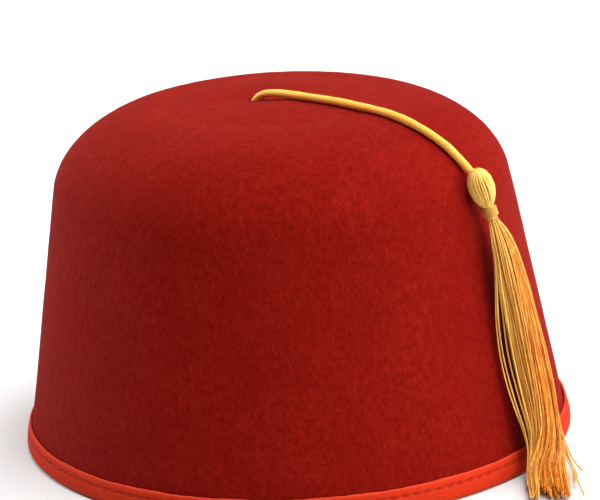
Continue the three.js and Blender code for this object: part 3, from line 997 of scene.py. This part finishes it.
# strands run lengthwise over the head, from round the cord to under the winding
def makeHead(look, group):
    draw = random.Random(look["seed"] + 1)
    top, axis, turn = headTurn(look)
    length = look["headRows"][-1][0]
    thin = look["headStrandRadius"]
    lines = []
    for i in range(look["headStrands"]):
        angle = 2 * math.pi * i / look["headStrands"] + draw.uniform(-0.03, 0.03)
        lean = draw.uniform(-0.10, 0.10)
        puff = draw.uniform(-0.00022, 0.00012)
        line = []
        for step in range(look["headSteps"] + 1):
            share = step / look["headSteps"]
            down = length * share
            reach = headRadius(look, down) - thin * 0.8 + puff * math.sin(math.pi * min(share * 1.3, 1.0))
            swing = angle + lean * math.sin(math.pi * share)
            spot = Vector((reach * math.cos(swing), reach * math.sin(swing), down))
            line.append(top + turn @ spot)
        lines.append(line)
    curves = polyCurve("headLines", lines)
    material = strandFinish("goldHeadStrands", (0.68, 0.330, 0.040, 1.0), (0.96, 0.680, 0.190, 1.0))
    strands = growMesh("headStrands", group, {
        "Strands": curves, "Radius": thin, "Sides": 6, "Seed": look["seed"] + 2,
        "Material": material}, [curves])
    rings = []
    for step in range(look["coreSteps"] + 1):
        down = 0.0006 + (length - 0.0008) * step / look["coreSteps"]
        reach = max(headRadius(look, down) - look["coreInset"], 0.0010)
        ring = []
        for i in range(look["coreSides"]):
            angle = 2 * math.pi * i / look["coreSides"]
            ring.append(top + turn @ Vector((reach * math.cos(angle), reach * math.sin(angle), down)))
        rings.append(ring)
    core = ringMesh("headCore", rings)
    core.materials.append(material)
    shape = bmesh.new()
    shape.from_mesh(strands)
    shape.from_mesh(core)
    shape.to_mesh(strands)
    shape.free()
    bpy.data.meshes.remove(core)
    return finishPiece("tasselHead", strands, "tassel", "tassel", material=material)


def windingGroup():
    inputs = [("Turns", "Float"), ("Radius", "Float"), ("Height", "Float"), ("Thread Radius", "Float"),
              ("Rotation", "Rotation"), ("Place", "Vector"), ("Material", "Material")]
    group, nodes, value = newGroup("neckWinding", inputs)
    spiral = nodes.add("GeometryNodeCurveSpiral", None, {
        "Resolution": 40, "Rotations": value["Turns"], "Start Radius": value["Radius"],
        "End Radius": value["Radius"], "Height": value["Height"]})
    ring = nodes.add("GeometryNodeCurvePrimitiveCircle", {"mode": "RADIUS"},
                     {"Resolution": 8, "Radius": value["Thread Radius"]})
    tube = nodes.add("GeometryNodeCurveToMesh", None, {
        "Curve": spiral, "Profile Curve": ring, "Fill Caps": True})
    put = nodes.add("GeometryNodeTransform", None, {
        "Geometry": tube, "Translation": value["Place"], "Rotation": value["Rotation"]})
    closeGroup(nodes, put, value["Material"])
    return group


def windingFinish():
    material, nodes = newFinish("goldWinding")
    place = objectPlace(nodes)
    twist = nodes.noise(nodes.scaled(place, (1.0, 1.0, 3.0)), 1800.0, 2.0)
    color = nodes.mix(twist, (0.48, 0.210, 0.024, 1.0), (0.68, 0.360, 0.068, 1.0))
    closeFinish(nodes, color, 0.42 + 0.2 * twist, twist, 0.00006, 0.5, {"Specular IOR Level": 0.45})
    return material


def makeWinding(look):
    top, axis, turn = headTurn(look)
    material = windingFinish()
    mesh = growMesh("neckWinding", windingGroup(), {
        "Turns": float(look["windingTurns"]), "Radius": look["windingRadius"] + look["windingThread"],
        "Height": look["windingTurns"] * look["windingThread"] * 2,
        "Thread Radius": look["windingThread"] * 1.02, "Rotation": turn.to_euler(),
        "Place": top + axis * look["windingFrom"], "Material": material})
    return finishPiece("neckWindingThread", mesh, "thread", "neck_winding", material=material)


# overhand knot under the felt, pulled tight on the cord's end
cordKnot = {"size": 0.00115, "tube": 0.00115, "loop": 1.6, "height": 1.5, "rings": 160, "sides": 12,
            "drop": 0.0005}


def makeKnot(knot):
    centre = Vector(goldCord["route"][0]) - Vector((0.0, 0.0, knot["drop"]))
    line = []
    for i in range(knot["rings"]):
        turn = 2 * math.pi * i / knot["rings"]
        spot = Vector((math.sin(turn) + knot["loop"] * math.sin(2 * turn),
                       math.cos(turn) - knot["loop"] * math.cos(2 * turn),
                       -knot["height"] * math.sin(3 * turn)))
        line.append(centre + spot * knot["size"])
    rings = []
    for i, point in enumerate(line):
        forward = (line[(i + 1) % len(line)] - line[i - 1]).normalized()
        side = (point - centre - forward * (point - centre).dot(forward)).normalized()
        up = forward.cross(side)
        ring = []
        for j in range(knot["sides"]):
            turn = 2 * math.pi * j / knot["sides"]
            ring.append(point + (side * math.cos(turn) + up * math.sin(turn)) * knot["tube"])
        rings.append(ring)
    mesh = ringMesh("cordKnot", rings, closed=True)
    # this relief also places the cord finish's painted groove shade on the knot
    relief = [0.6 + 0.4 * math.sin(i * 0.9) for i in range(len(mesh.vertices))]
    mesh.attributes.new("braidRelief", "FLOAT", "POINT").data.foreach_set("value", relief)
    return finishPiece("overhandKnot", mesh, "cord", "cord_knot", material=cordPiece.data.materials[0])


strandTree = strandGroup()
headPiece = makeHead(tassel, strandTree)
windingPiece = makeWinding(tassel)
makeSkirt(tassel, strandTree)
knotPiece = makeKnot(cordKnot)

# pale floor and soft studio light
studio = {
    "floorColor": (0.60, 0.60, 0.60, 1.0),
    "floorGrain": (0.58, 0.58, 0.58, 1.0),
    "floorHalf": 4.0,
    "floorDrop": 0.0004,  # keeps the floor clear of the rim's flat edge
    "worldColor": (1.0, 1.0, 1.0, 1.0),
    "worldStrength": 0.07,
    "sunDistance": 1.5,
    "suns": (
        # name, degrees right of the camera, elevation, spread in degrees, strength
        ("keyLight", 84.0, 38.0, 92.0, 6.3),
        ("topLight", 25.0, 76.0, 32.0, 1.6),
    ),
    "edgeLamp": {"right": -122.0, "elevation": 25.0, "distance": 1.3, "size": 0.5, "watts": 14.0},
}


def floorFinish(look):
    material, nodes = newFinish("paleFloor")
    grain = nodes.noise(objectPlace(nodes), 40.0, 2.0)
    tint = nodes.mix(0.03 * grain, look["floorColor"], look["floorGrain"])
    closeFinish(nodes, tint, 0.9 + 0.05 * grain)
    return material


def lightStudio(look):
    mesh = bpy.data.meshes.new("paleFloor")
    half, low = look["floorHalf"], -look["floorDrop"]
    corners = [(-half, -half, low), (half, -half, low), (half, half, low), (-half, half, low)]
    mesh.from_pydata(corners, [], [(0, 1, 2, 3)])
    mesh.materials.append(floorFinish(look))
    link("paleFloor", mesh)
    world = bpy.data.worlds.new("paleStudio")
    world.use_nodes = True
    backdrop = world.node_tree.nodes["Background"]
    backdrop.inputs["Color"].default_value = look["worldColor"]
    backdrop.inputs["Strength"].default_value = look["worldStrength"]
    bpy.context.scene.world = world
    for name, right, elevation, spread, strength in look["suns"]:
        sun = bpy.data.lights.new(name, "SUN")
        sun.angle = math.radians(spread)
        sun.energy = strength
        aimLight(link(name, sun), right, elevation, look["sunDistance"])
    edge = look["edgeLamp"]
    lamp = bpy.data.lights.new("edgeLamp", "AREA")
    lamp.shape = "DISK"
    lamp.size = edge["size"]
    lamp.energy = edge["watts"]
    aimLight(link("edgeLamp", lamp), edge["right"], edge["elevation"], edge["distance"])


def aimLight(light, right, elevation, distance):
    back = viewBack(photoCamera["azimuth"] + right, elevation)
    light.location = Vector(photoCamera["target"]) + back * distance
    light.rotation_euler = back.to_track_quat("Z", "Y").to_euler()


lightStudio(studio)
print("studio lit")
